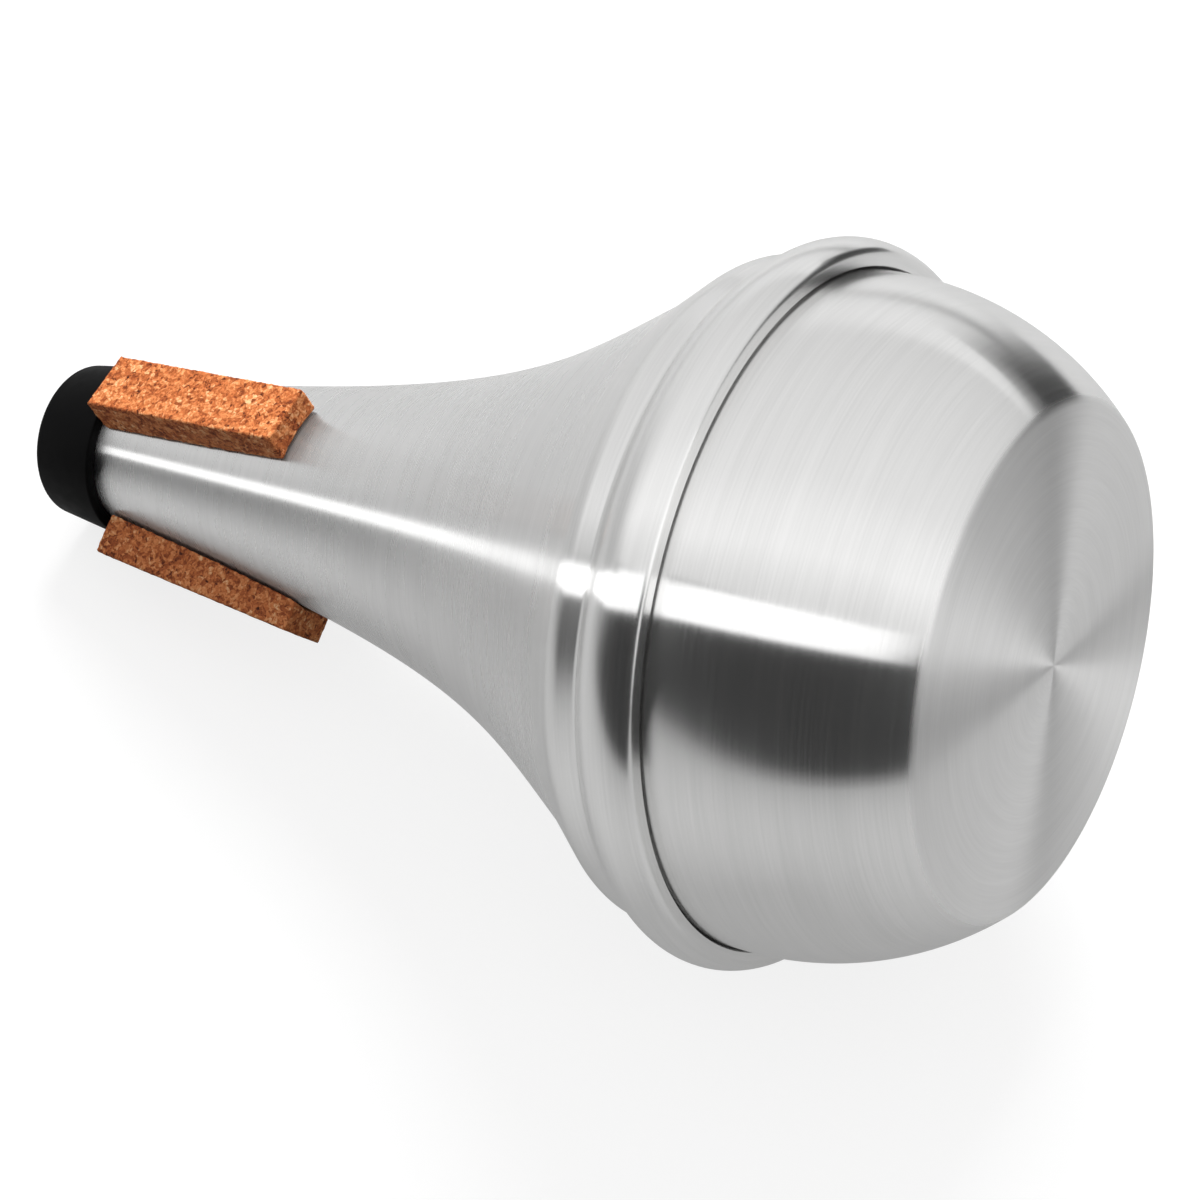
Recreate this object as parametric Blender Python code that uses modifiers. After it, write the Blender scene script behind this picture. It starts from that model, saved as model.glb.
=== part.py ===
"""Straight mute for a trumpet, as the separate pieces that the real one is made of.

A spun aluminium horn carries three cork strips and a rubber ring at its small, open end. The
horn's wide end is rolled into a bead, and the bead is crimped over the rim of a spun aluminium
cup, which closes the mute. Every piece is turned or cut in the mute's own straight frame, with
the closed end down at height 0 and the small end up. The whole mute is then laid on its side,
where it rests on the bead and on the rubber ring, as it does on a table.
"""

from math import atan2, cos, pi, radians, sin, sqrt, tan

import bmesh
import bpy
from mathutils import Matrix, Vector

# Driving dimensions in metres and degrees, heights measured from the closed end
OVERALL_LENGTH = 0.1680
SHEET = 0.0007
FIT_GAP = 0.0003

# Base cup: a straight wall below the seam, a domed side, and an end that bulges a little
CUP_RADIUS = 0.0472
CUP_WALL = 0.0016
END_RADIUS = 0.0351
END_CROWN = 0.0018
END_EDGE_RADIUS = 0.0020

# Seam: the cup's joggled rim, held by the folded lip of the bead
SEAM_HEIGHT = 0.0340
SEAM_OPENING = 0.00045
SEAM_FILLET = 0.00045
RIM_CORNER = 0.0009
RIM_END_ROOM = 0.0011
SEALANT_RADIUS = 0.0005

# Bead: the rolled edge of the horn
BEAD_HEIGHT = 0.0038
BEAD_RADIUS = 0.0064
BEAD_SETBACK = 0.0038
BEAD_CORNER = 0.0013
BEAD_RAMP_ANGLE = 48.0

# Groove and shoulder in front of the bead
GROOVE_DEPTH = 0.0036
GROOVE_WIDTH = 0.0023
GROOVE_ANGLE = 1.5
GROOVE_FILLET = 0.0012
SHOULDER_RISE = 0.00655
SHOULDER_RADIUS = 0.0045
SHOULDER_RAMP_ANGLE = 37.9

# Horn: one smooth curve from the small end to the shoulder
HORN_TIP_RADIUS = 0.0101
HORN_TIP_ANGLE = 6.8
HORN_TIP_PULL = 0.712
HORN_FLARE_ANGLE = 31.85
HORN_FLARE_PULL = 0.222

# Rubber ring over the small end
RING_LENGTH = 0.0120
RING_WALL = 0.0017
RING_LIP = 0.0015
RING_LIP_COVER = 0.0008
RING_ROUNDING = 0.0011
RING_EASE = 0.0003

# Cork strips
CORK_LENGTH = 0.0384
CORK_WIDTH = 0.0096
CORK_TIP_THICKNESS = 0.0053
CORK_WIDE_THICKNESS = 0.0040
CORK_SETBACK = 0.0006
CORK_SPARE_DEPTH = 0.0026

# Each strip is glued by hand: its place round the horn, and how far it lies askew
CORK_ANGLES = (7.5, 121.0, -116.0)
CORK_SKEWS = (-2.7, 0.0, 0.0)

# Facets
TURN_STEPS = 48
HORN_SEGMENTS = 12
DOME_SEGMENTS = 8
CROWN_SEGMENTS = 4
SHOULDER_SEGMENTS = 4
GROOVE_SEGMENTS = 2
BEAD_SEGMENTS = 8
CORNER_SEGMENTS = 3
SEALANT_SEGMENTS = 8

# Heights and radii that follow from the driving dimensions
SHEET_EDGE = OVERALL_LENGTH - RING_LIP - FIT_GAP
CREST_RADIUS = CUP_RADIUS + BEAD_HEIGHT
LIP_RADIUS = CUP_RADIUS + SEAM_OPENING
GROOVE_RADIUS = CREST_RADIUS - GROOVE_DEPTH
CREASE_RADIUS = GROOVE_RADIUS - SHOULDER_RISE
BEAD_CENTRE = (CREST_RADIUS - BEAD_RADIUS, SEAM_HEIGHT + BEAD_SETBACK)
HALF_STEP = pi / TURN_STEPS


def arc(centre, radius, start, end, segments):
    """Points of an arc in the (radius, height) plane, its angles counted from straight out."""
    points = []
    for i in range(segments + 1):
        angle = start + (end - start) * i / segments
        points.append((centre[0] + radius * cos(angle), centre[1] + radius * sin(angle)))
    return points


def bezier(p0, p1, p2, p3, segments):
    """Points of a cubic curve in the (radius, height) plane."""
    points = []
    for i in range(segments + 1):
        t = i / segments
        weights = ((1 - t) ** 3, 3 * t * (1 - t) ** 2, 3 * t * t * (1 - t), t ** 3)
        corners = (p0, p1, p2, p3)
        points.append(tuple(sum(w * p[k] for w, p in zip(weights, corners)) for k in (0, 1)))
    return points


def offset(points, distance):
    """The same line moved sideways: outwards for a positive distance on a line that runs down."""
    moved = []
    last = len(points) - 1
    for i, point in enumerate(points):
        here = Vector(point)
        before = (here - Vector(points[i - 1])).normalized() if i > 0 else None
        after = (Vector(points[i + 1]) - here).normalized() if i < last else None
        before = before or after
        after = after or before
        normal_before = Vector((-before.y, before.x))
        normal_after = Vector((-after.y, after.x))
        middle = (normal_before + normal_after).normalized()
        reach = distance / middle.dot(normal_after)
        moved.append((here.x + middle.x * reach, here.y + middle.y * reach))
    return moved


def radius_on(line, height):
    """Radius of an outline that runs down, read at a height."""
    for upper, lower in zip(line, line[1:]):
        if upper[1] >= height >= lower[1]:
            share = (upper[1] - height) / (upper[1] - lower[1])
            return upper[0] + (lower[0] - upper[0]) * share
    return line[0][0] if height > line[0][1] else line[-1][0]


def meeting_point(centre_1, radius_1, centre_2, radius_2):
    """The outer of the two points where two circles cross."""
    first = Vector(centre_1)
    span = Vector(centre_2) - first
    distance = span.length
    along = (radius_1 ** 2 - radius_2 ** 2 + distance ** 2) / (2 * distance)
    across = sqrt(radius_1 ** 2 - along ** 2)
    ahead = span / distance
    side = Vector((-ahead.y, ahead.x))
    candidates = [first + ahead * along + side * across, first + ahead * along - side * across]
    return tuple(max(candidates, key=lambda point: point.x))


def shoulder_line():
    """Ramp from the horn's crease, a round shoulder, the groove's floor and its fillet."""
    ramp = radians(SHOULDER_RAMP_ANGLE)
    end = radians(GROOVE_ANGLE)
    bead_ramp = radians(BEAD_RAMP_ANGLE)
    ramp_top = BEAD_CENTRE[0] + BEAD_RADIUS * cos(bead_ramp)
    groove_height = (BEAD_CENTRE[1] + BEAD_RADIUS * sin(bead_ramp)
                     + (ramp_top - GROOVE_RADIUS) / tan(bead_ramp))
    leg = GROOVE_FILLET * tan((bead_ramp - end) / 2)
    foot = (GROOVE_RADIUS - leg * sin(end), groove_height + leg * cos(end))
    brow = (foot[0] - GROOVE_WIDTH * sin(end), foot[1] + GROOVE_WIDTH * cos(end))
    centre = (brow[0] - SHOULDER_RADIUS * cos(end), brow[1] - SHOULDER_RADIUS * sin(end))
    hollow = (foot[0] + GROOVE_FILLET * cos(end), foot[1] + GROOVE_FILLET * sin(end))
    shoulder = arc(centre, SHOULDER_RADIUS, ramp, end, SHOULDER_SEGMENTS)
    fillet = arc(hollow, GROOVE_FILLET, pi + end, pi + bead_ramp, GROOVE_SEGMENTS)
    rise = shoulder[0][0] - CREASE_RADIUS
    crease = (CREASE_RADIUS, shoulder[0][1] + rise / tan(ramp))
    return [crease] + shoulder + fillet


def horn_line(crease):
    """Outer line of the horn from the sheet's edge at the small end down to the crease."""
    tip = (HORN_TIP_RADIUS, SHEET_EDGE)
    length = tip[1] - crease[1]
    tip_angle = radians(HORN_TIP_ANGLE)
    flare_angle = radians(HORN_FLARE_ANGLE)
    tip_handle = (tip[0] + HORN_TIP_PULL * length * tan(tip_angle),
                  tip[1] - HORN_TIP_PULL * length)
    flare_handle = (crease[0] - HORN_FLARE_PULL * length * tan(flare_angle),
                    crease[1] + HORN_FLARE_PULL * length)
    return bezier(tip, tip_handle, flare_handle, crease, HORN_SEGMENTS)


def bead_line():
    """Outer line of the bead: ramp top, crest, corner and the lip folded in over the rim."""
    ramp = radians(BEAD_RAMP_ANGLE)
    inset = BEAD_RADIUS - BEAD_CORNER
    rise = BEAD_SETBACK - BEAD_CORNER
    turn = -atan2(rise, sqrt(inset ** 2 - rise ** 2))
    corner = (BEAD_CENTRE[0] + inset * cos(turn), BEAD_CENTRE[1] + inset * sin(turn))
    crest = arc(BEAD_CENTRE, BEAD_RADIUS, ramp, turn, BEAD_SEGMENTS)
    fold = arc(corner, BEAD_CORNER, turn, -pi / 2, CORNER_SEGMENTS)
    return crest + fold[1:] + [(LIP_RADIUS, SEAM_HEIGHT)]


def horn_outline():
    """Whole outer line of the horn's sheet, from its small end to the edge of the lip."""
    shoulder = shoulder_line()
    return horn_line(shoulder[0]) + shoulder[1:] + bead_line()


def rim_radius():
    """Outer radius of the cup's rim, as wide as the bead is inside at the joggle's far side."""
    joggle_height = SEAM_HEIGHT + SHEET + FIT_GAP
    inside = BEAD_RADIUS - SHEET - FIT_GAP
    drop = BEAD_CENTRE[1] - (joggle_height + SHEET)
    return BEAD_CENTRE[0] + sqrt(inside ** 2 - max(drop, 0.0) ** 2)


def rim_end_height():
    """Height of the rim's free edge, short of the slope inside the groove by the sealant's room."""
    slope = radians(BEAD_RAMP_ANGLE)
    ramp_top = BEAD_CENTRE[0] + BEAD_RADIUS * cos(slope)
    ramp_height = BEAD_CENTRE[1] + BEAD_RADIUS * sin(slope)
    inner_radius_there = ramp_top - SHEET / cos(slope)
    meets = ramp_height + (inner_radius_there - rim_radius()) / tan(slope)
    return meets - RIM_END_ROOM


def cup_outline():
    """Section of the cup, from the middle of its inner side, over the rim, to its outer middle."""
    joggle_height = SEAM_HEIGHT + SHEET + FIT_GAP
    rim = rim_radius()
    corner = (rim - RIM_CORNER, joggle_height + RIM_CORNER)
    fillet = (CUP_RADIUS + SEAM_FILLET, joggle_height - SEAM_FILLET)
    wall_end = SEAM_HEIGHT - CUP_WALL
    inward = CUP_RADIUS - END_RADIUS
    dome_radius = (inward ** 2 + (wall_end - END_CROWN) ** 2) / (2 * inward)
    dome = (CUP_RADIUS - dome_radius, wall_end)
    crown_radius = (END_RADIUS ** 2 + END_CROWN ** 2) / (2 * END_CROWN)
    crown = (0.0, crown_radius)
    edge = meeting_point(dome, dome_radius - END_EDGE_RADIUS,
                         crown, crown_radius - END_EDGE_RADIUS)
    dome_end = atan2(edge[1] - dome[1], edge[0] - dome[0])
    crown_start = atan2(edge[1] - crown[1], edge[0] - crown[0])
    outer = [(rim, rim_end_height())]
    outer += arc(corner, RIM_CORNER, 0.0, -pi / 2, CORNER_SEGMENTS)
    outer += arc(fillet, SEAM_FILLET, pi / 2, pi, CORNER_SEGMENTS + 1)
    outer += arc(dome, dome_radius, 0.0, dome_end, DOME_SEGMENTS)
    outer += arc(edge, END_EDGE_RADIUS, dome_end, crown_start, CORNER_SEGMENTS)[1:]
    outer += arc(crown, crown_radius, crown_start, -pi / 2, CROWN_SEGMENTS)[1:-1]
    outer += [(0.0, 0.0)]
    inner = offset(outer, -SHEET)
    inner[-1] = (0.0, SHEET)
    return inner[::-1] + outer


def sealant_outline():
    """Round bead of sealing compound between the rim's edge and the slope inside the groove."""
    slope = radians(BEAD_RAMP_ANGLE)
    ramp_top = BEAD_CENTRE[0] + BEAD_RADIUS * cos(slope)
    ramp_height = BEAD_CENTRE[1] + BEAD_RADIUS * sin(slope)
    height = rim_end_height() + FIT_GAP + SEALANT_RADIUS
    wall = ramp_top - SHEET / cos(slope) - (height - ramp_height) * tan(slope)
    room = BEAD_RADIUS - SHEET - FIT_GAP - SEALANT_RADIUS
    reach = sqrt(room ** 2 - (height - BEAD_CENTRE[1]) ** 2)
    below_slope = wall - (FIT_GAP + SEALANT_RADIUS) / cos(slope)
    centre = (min(below_slope, BEAD_CENTRE[0] + reach), height)
    return arc(centre, SEALANT_RADIUS, pi / 2, -1.5 * pi, SEALANT_SEGMENTS)[:-1]


def ring_outline(horn):
    """Section of the rubber ring: a sleeve over the horn with a lip over the sheet's edge."""
    low = OVERALL_LENGTH - RING_LENGTH
    taper = (radius_on(horn, low) - HORN_TIP_RADIUS) / (SHEET_EDGE - low)
    tip_inner = HORN_TIP_RADIUS + FIT_GAP
    low_inner = radius_on(horn, low) + FIT_GAP
    tip_outer = tip_inner + RING_WALL - taper * (OVERALL_LENGTH - SHEET_EDGE)
    low_outer = low_inner + RING_WALL
    bore = HORN_TIP_RADIUS - SHEET - RING_LIP_COVER
    round_centre = (tip_outer - RING_ROUNDING, OVERALL_LENGTH - RING_ROUNDING)
    side_turn = atan2(taper, 1.0)
    outline = [(bore + RING_EASE, OVERALL_LENGTH)]
    outline += arc(round_centre, RING_ROUNDING, pi / 2, side_turn, CORNER_SEGMENTS + 1)
    outline += [(low_outer, low + RING_EASE), (low_outer - RING_EASE, low)]
    outline += [(low_inner, low), (tip_inner, SHEET_EDGE + FIT_GAP)]
    outline += [(bore, SHEET_EDGE + FIT_GAP), (bore, OVERALL_LENGTH - RING_EASE)]
    return outline


def principled(name, color, roughness, metallic):
    """A plain Principled material with the piece's colour."""
    material = bpy.data.materials.new(name)
    material.use_nodes = True
    shader = material.node_tree.nodes["Principled BSDF"]
    shader.inputs["Base Color"].default_value = (*color, 1.0)
    shader.inputs["Roughness"].default_value = roughness
    shader.inputs["Metallic"].default_value = metallic
    material.diffuse_color = (*color, 1.0)
    return material


def turned(name, outline, closed, material, collection, parent):
    """Turn an outline about the mute's axis, with a flat and not a corner on its lowest line."""
    count = len(outline)
    edges = [(i, (i + 1) % count) for i in range(count if closed else count - 1)]
    mesh = bpy.data.meshes.new(name)
    mesh.from_pydata([(radius, 0.0, height) for radius, height in outline], edges, [])
    obj = bpy.data.objects.new(name, mesh)
    obj.rotation_euler.z = HALF_STEP
    obj.parent = parent
    collection.objects.link(obj)
    if material:
        mesh.materials.append(material)
    screw = obj.modifiers.new("Turn", "SCREW")
    screw.steps = TURN_STEPS
    screw.render_steps = TURN_STEPS
    screw.use_merge_vertices = True
    screw.merge_threshold = 0.00001
    return obj


def cork_strip(name, angle, skew, horn, cutter, material, collection, parent):
    """A straight cork block laid along the horn, its underside hollowed to the horn's curve."""
    top = OVERALL_LENGTH - RING_LENGTH - CORK_SETBACK
    bottom = top - CORK_LENGTH
    top_radius = radius_on(horn, top) + FIT_GAP + CORK_TIP_THICKNESS
    bottom_radius = radius_on(horn, bottom) + FIT_GAP + CORK_WIDE_THICKNESS
    slope = atan2(bottom_radius - top_radius, CORK_LENGTH)
    depth = max(CORK_TIP_THICKNESS, CORK_WIDE_THICKNESS) + FIT_GAP + CORK_SPARE_DEPTH
    length = CORK_LENGTH / cos(slope)
    block = bmesh.new()
    bmesh.ops.create_cube(block, size=1.0)
    bmesh.ops.scale(block, verts=block.verts, vec=(depth, CORK_WIDTH, length))
    bmesh.ops.translate(block, verts=block.verts, vec=(-depth / 2, 0.0, 0.0))
    mesh = bpy.data.meshes.new(name)
    block.to_mesh(mesh)
    block.free()
    mesh.materials.append(material)
    obj = bpy.data.objects.new(name, mesh)
    collection.objects.link(obj)
    obj.parent = parent
    middle = ((top_radius + bottom_radius) / 2, 0.0, (top + bottom) / 2)
    around = Matrix.Rotation(-radians(angle), 4, "Z")
    lean = Matrix.Rotation(-slope, 4, "Y")
    askew = Matrix.Rotation(radians(skew), 4, "X")
    obj.matrix_local = around @ Matrix.Translation(middle) @ lean @ askew
    cut = obj.modifiers.new("Horn hollow", "BOOLEAN")
    cut.operation = "DIFFERENCE"
    cut.object = cutter
    return obj


def resting_tilt(ring, bead):
    """Tilt of the axis when the mute lies down: the line below both outlines that touches both."""
    return max(min(atan2(b[0] - r[0], r[1] - b[1]) for r in ring) for b in bead)


def lay_down(holder, pieces, tilt):
    """Lay the mute on its side and set it on the floor, centred on the origin."""
    holder.rotation_euler = (0.0, -(pi / 2 + tilt), 0.0)
    bpy.context.view_layer.update()
    depsgraph = bpy.context.evaluated_depsgraph_get()
    corners = []
    for piece in pieces:
        evaluated = piece.evaluated_get(depsgraph)
        mesh = evaluated.to_mesh()
        corners += [evaluated.matrix_world @ vertex.co for vertex in mesh.vertices]
        evaluated.to_mesh_clear()
    low = [min(corner[axis] for corner in corners) for axis in range(3)]
    high = [max(corner[axis] for corner in corners) for axis in range(3)]
    holder.location = (-(low[0] + high[0]) / 2, -(low[1] + high[1]) / 2, -low[2])
    bpy.context.view_layer.update()


def main():
    for old in list(bpy.data.objects):
        bpy.data.objects.remove(old, do_unlink=True)
    parts = bpy.data.collections.new("trumpet_straight_mute")
    cutters = bpy.data.collections.new("cutters")
    bpy.context.scene.collection.children.link(parts)
    bpy.context.scene.collection.children.link(cutters)
    holder = bpy.data.objects.new("mute_axis", None)
    parts.objects.link(holder)

    aluminium = principled("spun_aluminium", (0.72, 0.72, 0.71), 0.3, 1.0)
    rubber = principled("black_rubber", (0.008, 0.008, 0.008), 0.55, 0.0)
    compound = principled("sealing_compound", (0.12, 0.12, 0.11), 0.7, 0.0)
    cork = principled("pressed_cork", (0.5, 0.21, 0.08), 0.9, 0.0)

    horn = horn_outline()
    ring = ring_outline(horn)
    sheet = horn + offset(horn, -SHEET)[::-1]
    pieces = [
        turned("horn_shell", sheet, True, aluminium, parts, holder),
        turned("base_cup", cup_outline(), False, aluminium, parts, holder),
        turned("seam_sealant_ring", sealant_outline(), True, compound, parts, holder),
        turned("end_ring", ring, True, rubber, parts, holder),
    ]

    above = OVERALL_LENGTH + FIT_GAP
    grown = [p for p in offset(horn, FIT_GAP) if p[1] > SEAM_HEIGHT + 2 * BEAD_SETBACK]
    plug = [(0.0, above), (grown[0][0], above)] + grown + [(0.0, grown[-1][1])]
    cutter = turned("horn_hollow", plug, False, None, cutters, holder)
    cutter.hide_render = True
    cutter.display_type = "WIRE"
    for number, (angle, skew) in enumerate(zip(CORK_ANGLES, CORK_SKEWS), start=1):
        name = f"cork_strip_{number}"
        pieces.append(cork_strip(name, angle, skew, horn, cutter, cork, parts, holder))

    flat = cos(HALF_STEP)
    ring_flats = [(radius * flat, height) for radius, height in ring]
    bead_flats = [(radius * flat, height) for radius, height in bead_line()]
    tilt = resting_tilt(ring_flats, bead_flats)
    lay_down(holder, pieces, tilt)


main()
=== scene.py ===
# %% [markdown]
# A straight mute for a trumpet lies on its side on a pale table.
# Its body is two sheets of spun aluminium: a horn that flares from the small open end, and a
# cup that closes the wide end. The horn's edge is rolled into a bead and folded over the cup.
# Three strips of pressed cork hold the mute in the bell, and a rubber ring guards the small end.
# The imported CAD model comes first, because every new piece has to lie where its solid lies.

# %% Load the frame
from math import atan2, cos, degrees, pi, radians, sin, sqrt, tan

import bmesh
import bpy
from mathutils import Matrix, Vector


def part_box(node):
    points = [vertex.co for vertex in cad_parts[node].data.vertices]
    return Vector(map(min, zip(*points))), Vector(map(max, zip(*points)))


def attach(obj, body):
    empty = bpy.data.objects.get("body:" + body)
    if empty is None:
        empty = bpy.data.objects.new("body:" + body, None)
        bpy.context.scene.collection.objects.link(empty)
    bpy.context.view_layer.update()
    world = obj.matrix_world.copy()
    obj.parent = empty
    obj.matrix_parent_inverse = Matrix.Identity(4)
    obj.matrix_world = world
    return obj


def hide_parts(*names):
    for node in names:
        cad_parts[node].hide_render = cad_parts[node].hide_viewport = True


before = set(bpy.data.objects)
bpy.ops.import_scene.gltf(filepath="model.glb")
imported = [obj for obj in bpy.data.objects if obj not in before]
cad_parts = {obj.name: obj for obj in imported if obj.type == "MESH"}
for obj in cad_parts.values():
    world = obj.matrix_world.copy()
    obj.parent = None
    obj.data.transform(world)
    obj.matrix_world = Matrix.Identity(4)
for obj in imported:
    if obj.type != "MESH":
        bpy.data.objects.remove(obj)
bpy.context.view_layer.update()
print("CAD nodes:", sorted(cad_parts))

# %% [markdown]
# A spun sheet is one outline turned about an axis, so the outlines come before the meshes.
# They could be drawn by hand as many points, but a maker's drawing has arcs and a few sizes.
# Heights count from the middle of the closed end, and radii from the mute's axis, in metres.

# %% Sizes that the pieces share
LENGTH = 0.1680
SHEET = 0.0007
GAP = 0.0003

CUP_RADIUS = 0.0472
SEAM_HEIGHT = 0.0340
JOGGLE_HEIGHT = SEAM_HEIGHT + SHEET + GAP

BEAD_HEIGHT = 0.0038
BEAD_RADIUS = 0.0064
BEAD_SETBACK = 0.0038
BEAD_RAMP = radians(48.0)
CREST_RADIUS = CUP_RADIUS + BEAD_HEIGHT
BEAD_CENTRE = (CREST_RADIUS - BEAD_RADIUS, SEAM_HEIGHT + BEAD_SETBACK)

RING_LIP = 0.0015
SHEET_EDGE = LENGTH - RING_LIP - GAP
print("the bead measures", round(2 * CREST_RADIUS, 4), "metres across")

# %% [markdown]
# Four small drawing tools do for all the outlines. An arc's points lie about a step apart, so
# small corners and wide domes both come out round without wasting faces. The sheet's inner
# side is the outer line moved sideways by the sheet's thickness.

# %% Arcs, one curve, and the sheet's other side
ARC_STEP = 0.0004


def arc(centre, radius, start, end, step=ARC_STEP):
    """Points of an arc in the (radius, height) plane, about a step apart."""
    count = max(3, round(abs(end - start) * radius / step))
    turns = [start + (end - start) * i / count for i in range(count + 1)]
    return [(centre[0] + radius * cos(t), centre[1] + radius * sin(t)) for t in turns]


def curve(p0, p1, p2, p3, count):
    """Points of a cubic curve in the (radius, height) plane."""
    points = []
    for i in range(count + 1):
        t = i / count
        weights = ((1 - t) ** 3, 3 * t * (1 - t) ** 2, 3 * t * t * (1 - t), t ** 3)
        corners = (p0, p1, p2, p3)
        points.append(tuple(sum(w * p[k] for w, p in zip(weights, corners)) for k in (0, 1)))
    return points


def offset(points, distance):
    """The same line moved sideways: outwards for a positive distance on a line that runs down."""
    moved = []
    last = len(points) - 1
    for i, point in enumerate(points):
        here = Vector(point)
        before = (here - Vector(points[i - 1])).normalized() if i > 0 else None
        after = (Vector(points[i + 1]) - here).normalized() if i < last else None
        before = before or after
        after = after or before
        side = (Vector((-before.y, before.x)) + Vector((-after.y, after.x))).normalized()
        reach = distance / side.dot(Vector((-after.y, after.x)))
        moved.append((here.x + side.x * reach, here.y + side.y * reach))
    return moved


def circles_meet(centre_1, radius_1, centre_2, radius_2):
    """The outer of the two points where two circles cross."""
    first = Vector(centre_1)
    span = Vector(centre_2) - first
    along = (radius_1 ** 2 - radius_2 ** 2 + span.length ** 2) / (2 * span.length)
    across = sqrt(radius_1 ** 2 - along ** 2)
    ahead = span.normalized()
    side = Vector((-ahead.y, ahead.x))
    both = [first + ahead * along + side * across, first + ahead * along - side * across]
    return tuple(max(both, key=lambda point: point.x))


print("a quarter turn of the bead takes", len(arc((0.0, 0.0), BEAD_RADIUS, 0.0, pi / 2)), "points")

# %% [markdown]
# The horn's wide end carries the seam. Its bead is a round roll whose last stretch, the lip, is
# folded in over the rim of the cup. The spinner's roller leaves no corner anywhere, so each
# change of direction is an arc.

# %% Outline of the bead
BEAD_CORNER = 0.0013
BEAD_CORNER_STEP = 0.00015
SEAM_OPENING = 0.00045


def bead_line():
    """Outer line of the bead: ramp top, crest, corner and the lip folded in over the rim."""
    inset = BEAD_RADIUS - BEAD_CORNER
    rise = BEAD_SETBACK - BEAD_CORNER
    turn = -atan2(rise, sqrt(inset ** 2 - rise ** 2))
    corner = (BEAD_CENTRE[0] + inset * cos(turn), BEAD_CENTRE[1] + inset * sin(turn))
    crest = arc(BEAD_CENTRE, BEAD_RADIUS, BEAD_RAMP, turn)
    fold = arc(corner, BEAD_CORNER, turn, -pi / 2, BEAD_CORNER_STEP)
    return crest + fold[1:] + [(CUP_RADIUS + SEAM_OPENING, SEAM_HEIGHT)]


bead = bead_line()
print("bead outline:", len(bead), "points")

# %% [markdown]
# Above the bead the sheet dips into a groove with a nearly straight floor, and swells again
# into a round shoulder. The shoulder meets the horn in a soft crease.
# The horn itself is one cubic curve: its two handles set how straight the tube leaves the small
# end and how steeply it arrives at the crease.

# %% Outline of the shoulder and the horn
GROOVE_DEPTH = 0.0036
GROOVE_RADIUS = CREST_RADIUS - GROOVE_DEPTH
GROOVE_WIDTH = 0.0023
GROOVE_LEAN = radians(1.5)
GROOVE_FILLET = 0.0012
GROOVE_STEP = 0.0002
SHOULDER_RISE = 0.00655
SHOULDER_RADIUS = 0.0045
SHOULDER_RAMP = radians(37.9)

HORN_TIP_RADIUS = 0.0101
HORN_TIP_ANGLE = radians(6.8)
HORN_TIP_PULL = 0.712
HORN_FLARE_ANGLE = radians(31.85)
HORN_FLARE_PULL = 0.222
HORN_POINTS = 72


def shoulder_line():
    """Ramp from the horn's crease, a round shoulder, the groove's floor and its fillet."""
    ramp_top = BEAD_CENTRE[0] + BEAD_RADIUS * cos(BEAD_RAMP)
    groove_height = (BEAD_CENTRE[1] + BEAD_RADIUS * sin(BEAD_RAMP)
                     + (ramp_top - GROOVE_RADIUS) / tan(BEAD_RAMP))
    leg = GROOVE_FILLET * tan((BEAD_RAMP - GROOVE_LEAN) / 2)
    out = (cos(GROOVE_LEAN), sin(GROOVE_LEAN))
    foot = (GROOVE_RADIUS - leg * out[1], groove_height + leg * out[0])
    brow = (foot[0] - GROOVE_WIDTH * out[1], foot[1] + GROOVE_WIDTH * out[0])
    centre = (brow[0] - SHOULDER_RADIUS * out[0], brow[1] - SHOULDER_RADIUS * out[1])
    hollow = (foot[0] + GROOVE_FILLET * out[0], foot[1] + GROOVE_FILLET * out[1])
    shoulder = arc(centre, SHOULDER_RADIUS, SHOULDER_RAMP, GROOVE_LEAN)
    fillet = arc(hollow, GROOVE_FILLET, pi + GROOVE_LEAN, pi + BEAD_RAMP, GROOVE_STEP)
    crease_radius = GROOVE_RADIUS - SHOULDER_RISE
    crease_rise = (shoulder[0][0] - crease_radius) / tan(SHOULDER_RAMP)
    crease = (crease_radius, shoulder[0][1] + crease_rise)
    return [crease] + shoulder + fillet


def horn_line(crease):
    """Outer line of the horn from the sheet's edge at the small end down to the crease."""
    length = SHEET_EDGE - crease[1]
    tip_reach = HORN_TIP_PULL * length
    flare_reach = HORN_FLARE_PULL * length
    tip = (HORN_TIP_RADIUS, SHEET_EDGE)
    tip_handle = (tip[0] + tip_reach * tan(HORN_TIP_ANGLE), tip[1] - tip_reach)
    flare_handle = (crease[0] - flare_reach * tan(HORN_FLARE_ANGLE), crease[1] + flare_reach)
    return curve(tip, tip_handle, flare_handle, crease, HORN_POINTS)


shoulder = shoulder_line()
horn = horn_line(shoulder[0]) + shoulder[1:] + bead
print("horn outline:", len(horn), "points, widest", round(max(p[0] for p in horn), 4))

# %% [markdown]
# The cup is a short cylinder that turns through a round side into an end that bulges a little.
# Its rim steps outward into the bead. The step hides under the lip, and only a thin dark line
# and a small fillet show from outside.

# %% Outline of the cup
CUP_WALL = 0.0016
WALL_END = SEAM_HEIGHT - CUP_WALL
END_RADIUS = 0.0351
END_CROWN = 0.0018
END_EDGE_RADIUS = 0.0020
SEAM_FILLET = 0.00045
RIM_CORNER = 0.0009
RIM_END_ROOM = 0.0011
RIM_STEP = 0.0003
FILLET_STEP = 0.0001
DOME_STEP = 0.0008
EDGE_STEP = 0.0002
CROWN_STEP = 0.0020


def rim_radius():
    """Outer radius of the rim, as wide as the bead is inside at the joggle's far side."""
    inside = BEAD_RADIUS - SHEET - GAP
    drop = BEAD_CENTRE[1] - (JOGGLE_HEIGHT + SHEET)
    return BEAD_CENTRE[0] + sqrt(inside ** 2 - max(drop, 0.0) ** 2)


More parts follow.
